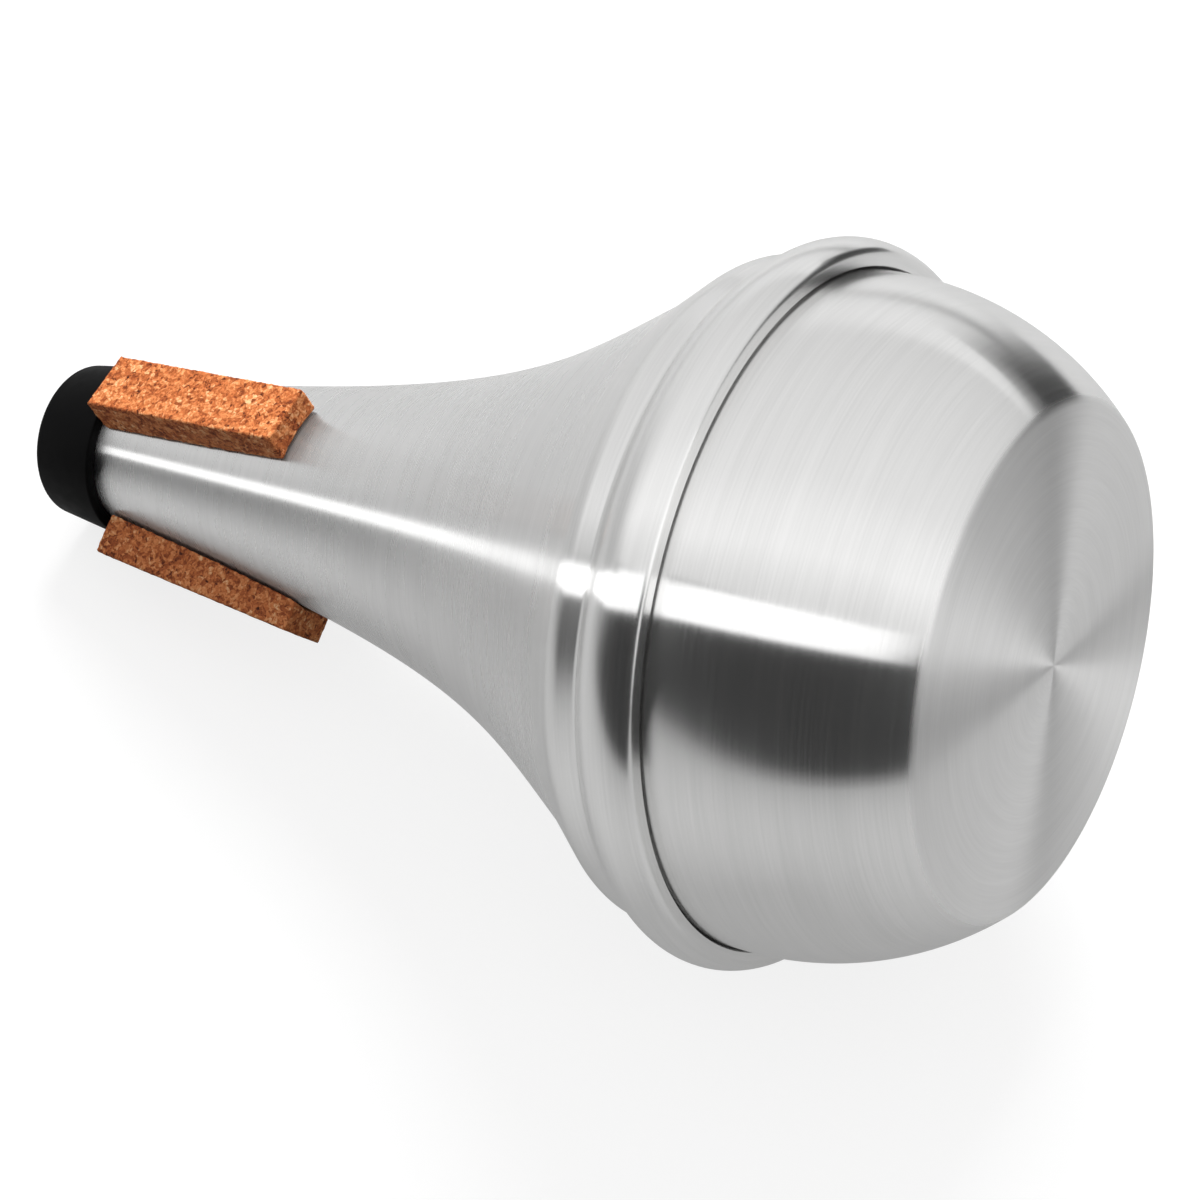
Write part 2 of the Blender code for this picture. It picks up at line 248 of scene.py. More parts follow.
def rim_end_height():
    """Height of the rim's free edge, short of the slope inside the groove by some room."""
    slope_radius = BEAD_CENTRE[0] + BEAD_RADIUS * cos(BEAD_RAMP) - SHEET / cos(BEAD_RAMP)
    slope_height = BEAD_CENTRE[1] + BEAD_RADIUS * sin(BEAD_RAMP)
    return slope_height + (slope_radius - rim_radius()) / tan(BEAD_RAMP) - RIM_END_ROOM


def cup_line():
    """Outer line of the cup, from the rim's edge to the middle of the end."""
    rim = rim_radius()
    corner = (rim - RIM_CORNER, JOGGLE_HEIGHT + RIM_CORNER)
    fillet = (CUP_RADIUS + SEAM_FILLET, JOGGLE_HEIGHT - SEAM_FILLET)
    inward = CUP_RADIUS - END_RADIUS
    dome_radius = (inward ** 2 + (WALL_END - END_CROWN) ** 2) / (2 * inward)
    dome = (CUP_RADIUS - dome_radius, WALL_END)
    crown_radius = (END_RADIUS ** 2 + END_CROWN ** 2) / (2 * END_CROWN)
    crown = (0.0, crown_radius)
    edge = circles_meet(dome, dome_radius - END_EDGE_RADIUS, crown, crown_radius - END_EDGE_RADIUS)
    dome_end = atan2(edge[1] - dome[1], edge[0] - dome[0])
    crown_start = atan2(edge[1] - crown[1], edge[0] - crown[0])
    line = [(rim, rim_end_height())]
    line += arc(corner, RIM_CORNER, 0.0, -pi / 2, RIM_STEP)
    line += arc(fillet, SEAM_FILLET, pi / 2, pi, FILLET_STEP)
    line += arc(dome, dome_radius, 0.0, dome_end, DOME_STEP)
    line += arc(edge, END_EDGE_RADIUS, dome_end, crown_start, EDGE_STEP)[1:]
    line += arc(crown, crown_radius, crown_start, -pi / 2, CROWN_STEP)[1:-1]
    return line + [(0.0, 0.0)]


cup = cup_line()
print("cup outline:", len(cup), "points")

# %% [markdown]
# The rubber ring is a sleeve with a lip that turns in over the sheet's sharp edge.
# Its wall follows the horn's taper, so it is worked out from the horn's outline.

# %% Outline of the rubber ring
RING_LENGTH = 0.0120
RING_WALL = 0.0017
RING_LIP_COVER = 0.0008
RING_ROUNDING = 0.0011
RING_EASE = 0.0003
RING_STEP = 0.0001


def radius_on(line, height):
    """Radius of an outline that runs down, read at a height."""
    for upper, lower in zip(line, line[1:]):
        if upper[1] >= height >= lower[1]:
            share = (upper[1] - height) / (upper[1] - lower[1])
            return upper[0] + (lower[0] - upper[0]) * share
    return line[0][0]


def ring_line():
    """Section of the ring, from the mouth's edge over the outside and back through the bore."""
    low = LENGTH - RING_LENGTH
    low_radius = radius_on(horn, low)
    taper = (low_radius - HORN_TIP_RADIUS) / (SHEET_EDGE - low)
    tip_inner = HORN_TIP_RADIUS + GAP
    tip_outer = tip_inner + RING_WALL - taper * (LENGTH - SHEET_EDGE)
    low_outer = low_radius + GAP + RING_WALL
    bore = HORN_TIP_RADIUS - SHEET - RING_LIP_COVER
    round_centre = (tip_outer - RING_ROUNDING, LENGTH - RING_ROUNDING)
    line = arc((bore + RING_EASE, LENGTH - RING_EASE), RING_EASE, pi, pi / 2, RING_STEP)
    line += arc(round_centre, RING_ROUNDING, pi / 2, atan2(taper, 1.0), RING_STEP)
    line += arc((low_outer - RING_EASE, low + RING_EASE), RING_EASE, 0.0, -pi / 2, RING_STEP)
    line += [(low_radius + GAP, low), (tip_inner, SHEET_EDGE + GAP), (bore, SHEET_EDGE + GAP)]
    return line


ring = ring_line()
print("ring outline:", len(ring), "points")

# %% [markdown]
# On a table the mute rolls onto its bead and onto the edge of the ring, so its axis is tilted.
# The CAD solids have flats in place of full rounds, 48 to a turn, and rest on one of them.
# The same reasoning gives the tilt here, and the sealing ring's box says where the axis runs.

# %% Where the mute's own straight frame lies
CAD_STEPS = 48
SEALANT_RADIUS = 0.0005

flat = cos(pi / CAD_STEPS)
tilt = max(min(atan2((b[0] - r[0]) * flat, r[1] - b[1]) for r in ring) for b in bead)
turn_down = Matrix.Rotation(-(pi / 2 + tilt), 4, "Y")

sealant_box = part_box("seam_sealant_ring")
sealant_middle = (Vector(sealant_box[0]) + Vector(sealant_box[1])) / 2
sealant_height = rim_end_height() + GAP + SEALANT_RADIUS
end_middle = sealant_middle - turn_down @ Vector((0.0, 0.0, sealant_height))
lie_down = Matrix.Translation(end_middle) @ turn_down
axis = (turn_down @ Vector((0.0, 0.0, 1.0))).normalized()
print("tilt of the axis in degrees:", round(degrees(tilt), 2))
print("middle of the closed end:", [round(v, 4) for v in end_middle])

# %% [markdown]
# Turning is bmesh's spin: the outline's vertices and edges go once round the axis.
# A Screw modifier would do the same, but spin leaves plain faces that can be merged at the
# pole. The steps are fine enough for the long reflections on brushed metal to stay unbroken.

# %% Turned meshes
TURN_STEPS = 256
MERGE = 0.000002
SHARP_ANGLE = radians(50)


def turned(name, outline, closed):
    """A new object from an outline spun about the mute's axis, already lying on the table."""
    bm = bmesh.new()
    verts = [bm.verts.new((radius, 0.0, height)) for radius, height in outline]
    pairs = list(zip(verts, verts[1:]))
    if closed:
        pairs.append((verts[-1], verts[0]))
    edges = [bm.edges.new(pair) for pair in pairs]
    bmesh.ops.spin(bm, geom=verts + edges, cent=(0, 0, 0), axis=(0, 0, 1), angle=2 * pi,
                   steps=TURN_STEPS, use_merge=True, use_duplicate=False)
    bmesh.ops.remove_doubles(bm, verts=bm.verts, dist=MERGE)
    bmesh.ops.recalc_face_normals(bm, faces=bm.faces)
    bmesh.ops.transform(bm, matrix=lie_down, verts=bm.verts)
    for face in bm.faces:
        face.smooth = True
    mesh = bpy.data.meshes.new(name)
    bm.to_mesh(mesh)
    bm.free()
    mesh.set_sharp_from_angle(angle=SHARP_ANGLE)
    piece = bpy.data.objects.new(name, mesh)
    bpy.context.scene.collection.objects.link(piece)
    print(name, "has", len(mesh.polygons), "faces")
    return piece


horn_sheet = turned("horn_sheet", horn + offset(horn, -SHEET)[::-1], closed=True)
cup_inside = offset(cup, -SHEET)
cup_inside[-1] = (0.0, SHEET)
cup_sheet = turned("cup_sheet", cup_inside[::-1] + cup, closed=False)
rubber_ring = turned("rubber_ring", ring, closed=True)

# %% [markdown]
# The corks are cut from a pressed board. Their edges are crisp but crumble a little, and the
# grains stand slightly proud. Each starts as a merged copy of its CAD solid, which already has
# the hollow that fits the horn. Voxels give it an even skin, and a noise texture lifts grains.

# %% Cork strips
CORK_MERGE = 0.00001
CORK_FLAT_ANGLE = radians(2)
CORK_EDGE_ANGLE = 1.0
CORK_EDGE = 0.00022
CORK_VOXEL = 0.00028
GRAIN_SIZE = 0.0008
GRAIN_LIFT = 0.00016
GRAIN_MIDDLE = 0.6

grain_texture = bpy.data.textures.new("cork_grains", "VORONOI")
grain_texture.noise_scale = GRAIN_SIZE
grain_texture.distance_metric = "DISTANCE"


def cork_block(name, node):
    """A crumbly block in the place of one CAD cork strip."""
    bm = bmesh.new()
    bm.from_mesh(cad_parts[node].data)
    bmesh.ops.remove_doubles(bm, verts=bm.verts, dist=CORK_MERGE)
    bmesh.ops.dissolve_limit(bm, angle_limit=CORK_FLAT_ANGLE, verts=bm.verts, edges=bm.edges)
    inner_edges = [edge for edge in bm.edges if len(edge.link_faces) == 2]
    crisp_edges = [edge for edge in inner_edges if edge.calc_face_angle() > CORK_EDGE_ANGLE]
    bmesh.ops.bevel(bm, geom=crisp_edges, offset=CORK_EDGE, segments=2, profile=0.5,
                    affect="EDGES", material=-1)
    mesh = bpy.data.meshes.new(name)
    bm.to_mesh(mesh)
    bm.free()
    piece = bpy.data.objects.new(name, mesh)
    bpy.context.scene.collection.objects.link(piece)
    skin = piece.modifiers.new("Even skin", "REMESH")
    skin.mode = "VOXEL"
    skin.voxel_size = CORK_VOXEL
    lift = piece.modifiers.new("Grains", "DISPLACE")
    lift.texture = grain_texture
    lift.texture_coords = "LOCAL"
    lift.strength = GRAIN_LIFT
    lift.mid_level = GRAIN_MIDDLE
    return piece


cork_pieces = {}
for number in (1, 2, 3):
    node = f"cork_strip_{number}"
    cork_pieces[node] = cork_block(f"cork_block_{number}", node)
print("corks:", sorted(cork_pieces))

# %% [markdown]
# Materials are node trees, and most of their nodes are wired the same way, so a few small
# helpers make a material, place a node, do sums and map tones. Numbers that are the same all
# over a surface stay on the shader's own sockets.

# %% Node helpers
def new_material(name):
    """A material with its Principled shader."""
    material = bpy.data.materials.new(name)
    material.use_nodes = True
    return material, material.node_tree, material.node_tree.nodes["Principled BSDF"]


def add(tree, kind, inputs=None, **settings):
    """A node with some settings and inputs, each input a value or another node's output."""
    node = tree.nodes.new(kind)
    for key, value in settings.items():
        setattr(node, key, value)
    for key, value in (inputs or {}).items():
        if isinstance(value, bpy.types.NodeSocket):
            tree.links.new(value, node.inputs[key])
        else:
            node.inputs[key].default_value = value
    return node


def sums(tree, operation, *values):
    """The result of one Math node."""
    return add(tree, "ShaderNodeMath", dict(enumerate(values)), operation=operation).outputs[0]


def weighed(tree, *terms):
    """The sum of several outputs, each given as (output, weight)."""
    total = sums(tree, "MULTIPLY", *terms[0])
    for term in terms[1:]:
        total = sums(tree, "ADD", total, sums(tree, "MULTIPLY", *term))
    return total


def ramp(tree, factor, *stops):
    """A colour ramp with its stops given as (position, grey or colour)."""
    node = add(tree, "ShaderNodeValToRGB", {"Fac": factor})
    elements = node.color_ramp.elements
    while len(elements) < len(stops):
        elements.new(0.5)
    for element, (position, color) in zip(elements, stops):
        element.position = position
        rgb = (color,) * 3 if isinstance(color, float) else color
        element.color = (*rgb, 1.0)
    return node.outputs["Color"]


# %% [markdown]
# A spinner's last pass runs abrasive cloth round the turning mute, so thousands of fine lines
# circle the axis. An image could hold them, but would stretch where the sheet flares.
# A noise that is squeezed in radius and height, but slow around the axis, gives single lines
# of one width everywhere. Going round means a cosine and a sine, so the noise has no seam.

# %% Lines around the axis
AXIS_CLEARANCE = 0.0001
LINES_DETAIL = 2.0


def lines_around(tree, straight, per_metre, turns):
    """Noise that changes fast across the spinning lines and slowly along them."""
    split = add(tree, "ShaderNodeSeparateXYZ", {0: straight})
    x, y, height = split.outputs
    radius = sums(tree, "SQRT", weighed(tree, (x, x), (y, y)))
    safe = sums(tree, "MAXIMUM", radius, AXIS_CLEARANCE)
    cosine = sums(tree, "DIVIDE", x, safe)
    sine = sums(tree, "DIVIDE", y, safe)
    place = add(tree, "ShaderNodeCombineXYZ", {
        0: sums(tree, "MULTIPLY", radius, per_metre),
        1: sums(tree, "MULTIPLY", height, per_metre),
        2: sums(tree, "MULTIPLY", cosine, turns),
    })
    noise = add(tree, "ShaderNodeTexNoise", {
        "Vector": place.outputs[0],
        "W": sums(tree, "MULTIPLY", sine, turns),
        "Scale": 1.0,
        "Detail": LINES_DETAIL,
    }, noise_dimensions="4D")
    return noise.outputs[0]


# %% [markdown]
# The lines smear each reflection along the mute and keep it sharp around it: that is what draws
# the long streak on the horn and the bow tie on the end. The shader does that with anisotropy,
# which needs the direction of the lines. The cross product of the axis with the place on the
# sheet gives it, whatever way the mute lies, and a small wander keeps it from being perfect.
# The cup is the most polished part, the horn less so, and the end was faced with coarser cloth.

# %% Spun aluminium
ALUMINIUM_DARK = (0.86, 0.858, 0.852)
ALUMINIUM_LIGHT = (0.93, 0.928, 0.922)
LINES_PER_METRE = 3600.0
BANDS_PER_METRE = 500.0
LINES_TURNS = 2.5
BANDS_TURNS = 0.9
CLOUDS_PER_METRE = 45.0
LINES_IN_TONE = 0.6
LINES_IN_ROUGHNESS = 0.07
CLOUDS_IN_ROUGHNESS = 0.05
HORN_ROUGHNESS = 0.22
CUP_ROUGHNESS = 0.13
END_ROUGHNESS = 0.33
CREASE_HEIGHT = 0.056
END_BLEND = 0.0008
LINE_WANDER = 0.012
BAND_WANDER = 0.008
LINE_DEPTH = 0.00002
LINE_BUMP = 0.15


def spinning_direction(tree, here, lines, bands):
    """The way the spinning lines run at a place, with a little wander."""
    outwards = add(tree, "ShaderNodeVectorMath", {0: here, 1: end_middle}, operation="SUBTRACT")
    around = add(tree, "ShaderNodeVectorMath", {0: tuple(axis), 1: outwards.outputs[0]},
                 operation="CROSS_PRODUCT")
    around = add(tree, "ShaderNodeVectorMath", {0: around.outputs[0]}, operation="NORMALIZE")
    wander = weighed(tree, (sums(tree, "SUBTRACT", lines, 0.5), LINE_WANDER),
                     (sums(tree, "SUBTRACT", bands, 0.5), BAND_WANDER))
    aside = add(tree, "ShaderNodeVectorMath", {0: tuple(axis), "Scale": wander},
                operation="SCALE")
    return add(tree, "ShaderNodeVectorMath", {0: around.outputs[0], 1: aside.outputs[0]},
               operation="ADD").outputs[0]


def polish(tree, height):
    """Roughness by height: the cup, the horn past its crease, and the closed end."""
    on_horn = add(tree, "ShaderNodeMapRange", {
        "Value": height, "From Min": BEAD_CENTRE[1] + BEAD_RADIUS, "From Max": CREASE_HEIGHT,
        "To Min": CUP_ROUGHNESS, "To Max": HORN_ROUGHNESS})
    on_end = add(tree, "ShaderNodeMapRange", {
        "Value": height, "From Min": END_CROWN + END_BLEND, "From Max": END_CROWN,
        "To Min": on_horn.outputs[0], "To Max": END_ROUGHNESS})
    return on_end.outputs[0]


def spun_aluminium(name):
    """Aluminium with fine lines around the mute's axis."""
    material, tree, shader = new_material(name)
    here = add(tree, "ShaderNodeTexCoord").outputs["Object"]
    straight = add(tree, "ShaderNodeMapping", {
        "Vector": here,
        "Location": end_middle,
        "Rotation": turn_down.to_euler(),
    }, vector_type="TEXTURE").outputs[0]
    height = add(tree, "ShaderNodeSeparateXYZ", {0: straight}).outputs[2]
    lines = lines_around(tree, straight, LINES_PER_METRE, LINES_TURNS)
    bands = lines_around(tree, straight, BANDS_PER_METRE, BANDS_TURNS)
    clouds = add(tree, "ShaderNodeTexNoise",
                 {"Vector": here, "Scale": CLOUDS_PER_METRE, "Detail": 3.0}).outputs[0]

    tone = weighed(tree, (lines, LINES_IN_TONE), (bands, 1.0 - LINES_IN_TONE))
    color = ramp(tree, tone, (0.35, ALUMINIUM_DARK), (0.65, ALUMINIUM_LIGHT))
    rough = weighed(tree, (lines, LINES_IN_ROUGHNESS), (clouds, CLOUDS_IN_ROUGHNESS))
    rough = sums(tree, "ADD", rough, polish(tree, height))
    relief = sums(tree, "ADD", lines, sums(tree, "MULTIPLY", bands, 2.0))
    bump = add(tree, "ShaderNodeBump",
               {"Height": relief, "Strength": LINE_BUMP, "Distance": LINE_DEPTH})

    tree.links.new(color, shader.inputs["Base Color"])
    tree.links.new(rough, shader.inputs["Roughness"])
    tree.links.new(bump.outputs[0], shader.inputs["Normal"])
    tree.links.new(spinning_direction(tree, here, lines, bands), shader.inputs["Tangent"])
    shader.inputs["Metallic"].default_value = 1.0
    shader.inputs["Anisotropic"].default_value = 1.0
    shader.inputs["Anisotropic Rotation"].default_value = 0.25
    return material


aluminium = spun_aluminium("spun_aluminium")
print("aluminium nodes:", len(aluminium.node_tree.nodes))

# %% [markdown]
# Pressed cork is ground bark and glue. Grains from half a millimetre to a millimetre lie
# every way, most of them orange, some nearly black and a few pale. A Voronoi texture gives
# each cell its own random tone, and a finer one breaks the cells up. A little noise bends both,
# so that no cell has straight sides. Where the metal mirrors the corks, their colour is painted
# mostly grey: a painted reflection that shows grey shade beside the corks instead of orange cork.

# %% Pressed cork
GRAINS_PER_METRE = 1300.0
CRUMBS_PER_METRE = 3200.0
PATCHES_PER_METRE = 260.0
BENDS_PER_METRE = 900.0
BEND_REACH = 0.0006
CORK_DEPTH = 0.00025
CORK_PAINTED_REFLECTION = (0.36, 0.35, 0.34, 1.0)
CORK_PAINTED_REFLECTION_SHARE = 0.75


def pressed_cork(name):
    """Cork grains of several browns, painted mostly grey where the metal mirrors them."""
    material, tree, shader = new_material(name)
    here = add(tree, "ShaderNodeTexCoord").outputs["Object"]
    bend = add(tree, "ShaderNodeTexNoise",
               {"Vector": here, "Scale": BENDS_PER_METRE, "Detail": 2.0})
    bent = add(tree, "ShaderNodeVectorMath", {0: bend.outputs["Color"], "Scale": BEND_REACH},
               operation="SCALE")
    moved = add(tree, "ShaderNodeVectorMath", {0: here, 1: bent.outputs[0]},
                operation="ADD").outputs[0]
    cells = []
    for per_metre in (GRAINS_PER_METRE, CRUMBS_PER_METRE):
        cell = add(tree, "ShaderNodeTexVoronoi", {"Vector": moved, "Scale": per_metre})
        cells.append(add(tree, "ShaderNodeSeparateColor", {0: cell.outputs["Color"]}).outputs[0])
    patches = add(tree, "ShaderNodeTexNoise",
                  {"Vector": here, "Scale": PATCHES_PER_METRE, "Detail": 2.0})
    tone = weighed(tree, (cells[0], 0.45), (cells[1], 0.35), (patches.outputs[0], 0.20))
    color = ramp(tree, tone,
                 (0.12, (0.07, 0.018, 0.009)),
                 (0.28, (0.34, 0.080, 0.024)),
                 (0.50, (0.60, 0.170, 0.050)),
                 (0.72, (0.82, 0.31, 0.11)),
                 (0.86, (0.95, 0.55, 0.28)))
    # Painted reflection: rays from the metal see the cork painted mostly grey, as painted shade.
    in_metal = add(tree, "ShaderNodeLightPath").outputs["Is Glossy Ray"]
    painted_reflection = add(tree, "ShaderNodeMixRGB", {
        "Fac": sums(tree, "MULTIPLY", in_metal, CORK_PAINTED_REFLECTION_SHARE),
        "Color1": color,
        "Color2": CORK_PAINTED_REFLECTION,
    })
    rough = ramp(tree, tone, (0.2, 0.95), (0.8, 0.72))
    bump = add(tree, "ShaderNodeBump", {"Height": tone, "Strength": 0.8, "Distance": CORK_DEPTH})
    tree.links.new(painted_reflection.outputs[0], shader.inputs["Base Color"])
    tree.links.new(rough, shader.inputs["Roughness"])
    tree.links.new(bump.outputs[0], shader.inputs["Normal"])
    shader.inputs["Specular IOR Level"].default_value = 0.3
    return material


cork = pressed_cork("pressed_cork")
print("cork nodes:", len(cork.node_tree.nodes))

# %% [markdown]
# The ring is smooth black rubber with a faint bloom, and the compound in the seam is cured
# and dull. The compound can't be seen from outside, but it still gets its own finish.

# %% Rubber and sealing compound
RUBBER_DARK = (0.0008, 0.0008, 0.0009)
RUBBER_BLOOM = (0.0022, 0.0022, 0.0024)
COMPOUND_DARK = (0.09, 0.088, 0.08)
COMPOUND_LIGHT = (0.14, 0.135, 0.125)
BLOOM_ROUGHNESS = 0.12


def rubber_like(name, dark, light, size, roughness):
    """A dull material whose tone and gloss vary softly."""
    material, tree, shader = new_material(name)
    here = add(tree, "ShaderNodeTexCoord").outputs["Object"]
    bloom = add(tree, "ShaderNodeTexNoise",
                {"Vector": here, "Scale": 1 / size, "Detail": 4.0}).outputs[0]
    color = ramp(tree, bloom, (0.35, dark), (0.7, light))
    rough = ramp(tree, bloom, (0.3, roughness), (0.7, roughness + BLOOM_ROUGHNESS))
    bump = add(tree, "ShaderNodeBump", {"Height": bloom, "Strength": 0.15, "Distance": 0.0001})
    tree.links.new(color, shader.inputs["Base Color"])
    tree.links.new(rough, shader.inputs["Roughness"])
    tree.links.new(bump.outputs[0], shader.inputs["Normal"])
    shader.inputs["Specular IOR Level"].default_value = 0.08
    return material


black_rubber = rubber_like("black_rubber", RUBBER_DARK, RUBBER_BLOOM, 0.002, 0.50)
compound = rubber_like("sealing_compound", COMPOUND_DARK, COMPOUND_LIGHT, 0.001, 0.65)
print("dull materials:", black_rubber.name, "and", compound.name)

# %% [markdown]
# Each new piece gets its material, rides on the mute's one body, and stands for its solid.

# %% Dress the pieces
stands_for = {
    horn_sheet: ("horn_shell", aluminium, "horn_aluminium"),
    cup_sheet: ("base_cup", aluminium, "cup_aluminium"),
    rubber_ring: ("end_ring", black_rubber, "ring_rubber"),
}
for node, piece in cork_pieces.items():
    stands_for[piece] = (node, cork, "cork")
for piece, (node, material, slot) in stands_for.items():
    piece.data.materials.append(material)
    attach(piece, "root")
    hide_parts(node)

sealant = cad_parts["seam_sealant_ring"]
sealant.data.materials.clear()
sealant.data.materials.append(compound)
print("pieces:", [piece.name for piece in stands_for] + [sealant.name])

# %% [markdown]
# The camera stands close, so the mute's small end looks smaller than it is. Its place, aim
# and lens were worked out from the outlines in the photograph, with a 36 mm sensor.

# %% Camera
CAMERA_PLACE = Vector((0.14771, -0.24732, 0.41236))
CAMERA_AZIMUTH = radians(29.177)
CAMERA_ELEVATION = radians(53.50)
LENS_MM = 98.87
SENSOR_MM = 36.0


def bearing(azimuth, elevation=0.0):
    """The direction with an azimuth, counted from the front to the right, and an elevation."""
    level = cos(elevation)
    return Vector((sin(azimuth) * level, -cos(azimuth) * level, sin(elevation)))


camera_data = bpy.data.cameras.new("camera")
camera_data.lens = LENS_MM
camera_data.sensor_width = SENSOR_MM
camera_data.clip_start = 0.01
camera = bpy.data.objects.new("camera", camera_data)
camera.location = CAMERA_PLACE
back = bearing(CAMERA_AZIMUTH, CAMERA_ELEVATION)
camera.rotation_euler = back.to_track_quat("Z", "Y").to_euler()
bpy.context.scene.collection.objects.link(camera)
bpy.context.scene.camera = camera
bpy.context.scene.view_settings.view_transform = "Standard"

to_camera = CAMERA_PLACE - (end_middle + axis * (LENGTH / 2))
print("the camera stands", round(to_camera.length, 3), "metres from the mute")

# %% [markdown]
# Metal looks like what it mirrors, so most of the work of lighting it is choosing what stands
# around it. The table and the air of the room are white to the camera, but darker to the metal,
# which has to look like grey aluminium. Light Path tells the rays apart, so neither the metal's
# colour nor the light on the corks has to change for that.

# %% Floor and world
FLOOR_SIZE = 8.0
FLOOR_DROP = 0.00013
FLOOR_COLOR = (0.22, 0.22, 0.22, 1.0)
FLOOR_SEEN = 0.81
FLOOR_IN_METAL = 0.31
WORLD_LEVEL = 0.24
WHITE = (1.0, 1.0, 1.0, 1.0)
BRIGHTEST = 5.0


def light_path_lift(tree, base, camera, glossy):
    """A strength that is changed by one amount for the camera and by another for metal."""
    path = add(tree, "ShaderNodeLightPath")
    seen = sums(tree, "MULTIPLY", path.outputs["Is Camera Ray"], camera)
    shiny = sums(tree, "MAXIMUM", path.outputs["Is Glossy Ray"],
                 path.outputs["Is Transmission Ray"])
    mirrored = sums(tree, "MULTIPLY", shiny, glossy)
    return sums(tree, "ADD", sums(tree, "ADD", seen, mirrored), base)


def fade(tree, place, direction, *stops):
    """Brightness along a direction, from stops given as (metres, level)."""
    reach = add(tree, "ShaderNodeVectorMath", {0: place, 1: direction}, operation="DOT_PRODUCT")
    first, last = stops[0][0], stops[-1][0]
    share = add(tree, "ShaderNodeMapRange", {
        "Value": reach.outputs["Value"], "From Min": first, "From Max": last})
    shares = [((reached - first) / (last - first), level / BRIGHTEST) for reached, level in stops]
    return sums(tree, "MULTIPLY", ramp(tree, share.outputs[0], *shares), BRIGHTEST)


def stage_sheet(name, length, width, place, turn):
    """A flat sheet that isn't part of the mute, with its place and turn in its mesh."""
    bm = bmesh.new()
    bmesh.ops.create_grid(bm, x_segments=1, y_segments=1, size=0.5)
    bmesh.ops.scale(bm, verts=bm.verts, vec=(length, width, 1.0))
    bmesh.ops.transform(bm, matrix=Matrix.Translation(place) @ turn, verts=bm.verts)
    mesh = bpy.data.meshes.new(name)
    bm.to_mesh(mesh)
    bm.free()
    sheet = bpy.data.objects.new(name, mesh)
    bpy.context.scene.collection.objects.link(sheet)
    return sheet


world = bpy.data.worlds.new("studio")
bpy.context.scene.world = world
world.use_nodes = True
tree = world.node_tree
background = tree.nodes["Background"]
background.inputs["Color"].default_value = WHITE
sky = add(tree, "ShaderNodeTexCoord").outputs["Generated"]
to_the_back = fade(tree, sky, (0.0, 1.0, 0.0),
                   (-0.3, 0.46), (0.0, 0.54), (0.35, 0.74), (1.0, 0.86))
lift = light_path_lift(tree, WORLD_LEVEL, 1.0 - WORLD_LEVEL,
                       sums(tree, "SUBTRACT", to_the_back, WORLD_LEVEL))
tree.links.new(lift, background.inputs["Strength"])

floor = stage_sheet("floor", FLOOR_SIZE, FLOOR_SIZE, (0.0, 0.0, -FLOOR_DROP), Matrix.Identity(4))
floor_material, tree, shader = new_material("pale_floor")
shader.inputs["Base Color"].default_value = FLOOR_COLOR
shader.inputs["Roughness"].default_value = 1.0
shader.inputs["Specular IOR Level"].default_value = 0.0
shader.inputs["Emission Color"].default_value = WHITE
tree.links.new(light_path_lift(tree, 0.0, FLOOR_SEEN, FLOOR_IN_METAL),
               shader.inputs["Emission Strength"])
floor.data.materials.append(floor_material)
print("the floor lies", round(FLOOR_DROP * 1000, 2), "mm below the CAD box")

# %% [markdown]
# Each panel glows with the brightness that it would have in the studio, where 1 is white, and
# fades towards an edge where the real one does. Lamps would light the mute as well, but they
# don't hide what is behind them, so the metal would see the lamp and the world added up.
# A wide soft box hangs over the table. It fills most of the upper side of the mute with a
# light grey that is brightest near the box's front edge.

# %% Soft box
BOX_HEIGHT = 0.73
BOX_AZIMUTH = radians(11.5)
BOX_FRONT = 0.52
BOX_BACK = -1.70
BOX_LEFT = -1.3
BOX_RIGHT = 3.0
UPRIGHT = Matrix.Rotation(pi / 2, 4, "X")
UPWARDS = Vector((0.0, 0.0, 1.0))


def glow(sheet, level, *fades):
    """Make a stage piece shine at a level, or at the highest of its fades where that is more."""
    sheet.visible_camera = False
    material = bpy.data.materials.new(sheet.name)
    material.use_nodes = True
    tree = material.node_tree
    tree.nodes.remove(tree.nodes["Principled BSDF"])
    here = add(tree, "ShaderNodeTexCoord").outputs["Object"]
    for each in fades:
        level = sums(tree, "MAXIMUM", level, fade(tree, here, *each))
    shine = add(tree, "ShaderNodeEmission", {"Strength": level})
    tree.links.new(shine.outputs[0], tree.nodes["Material Output"].inputs["Surface"])
    sheet.data.materials.append(material)


towards = bearing(BOX_AZIMUTH)
along = bearing(BOX_AZIMUTH + pi / 2)
box_middle = (towards * ((BOX_FRONT + BOX_BACK) / 2) + along * ((BOX_LEFT + BOX_RIGHT) / 2)
              + UPWARDS * BOX_HEIGHT)
soft_box = stage_sheet("soft_box", BOX_RIGHT - BOX_LEFT, BOX_FRONT - BOX_BACK, box_middle,
                       Matrix.Rotation(BOX_AZIMUTH, 4, "Z"))
glow(soft_box, 0.0,
     (towards, (BOX_BACK, 0.68), (-0.75, 0.74), (-0.36, 0.78), (-0.05, 0.84),
      (0.10, 0.93), (0.25, 0.97), (0.42, 0.82), (BOX_FRONT, 0.76)))
print("soft box hangs at", [round(v, 2) for v in box_middle])

# %% [markdown]
# The long streak runs straight along the whole mute, over cup, bead and horn. A straight tube
# of light doesn't do that, because the mute's side bends its image away. So the streak comes
# first: a ray from the camera is mirrored in the skin at a few heights, on both edges of the
# wanted streak, and the ribbon of light is bent through the places that those rays reach.
# Only metal sees the ribbons, so they neither light the corks nor cast a shadow.

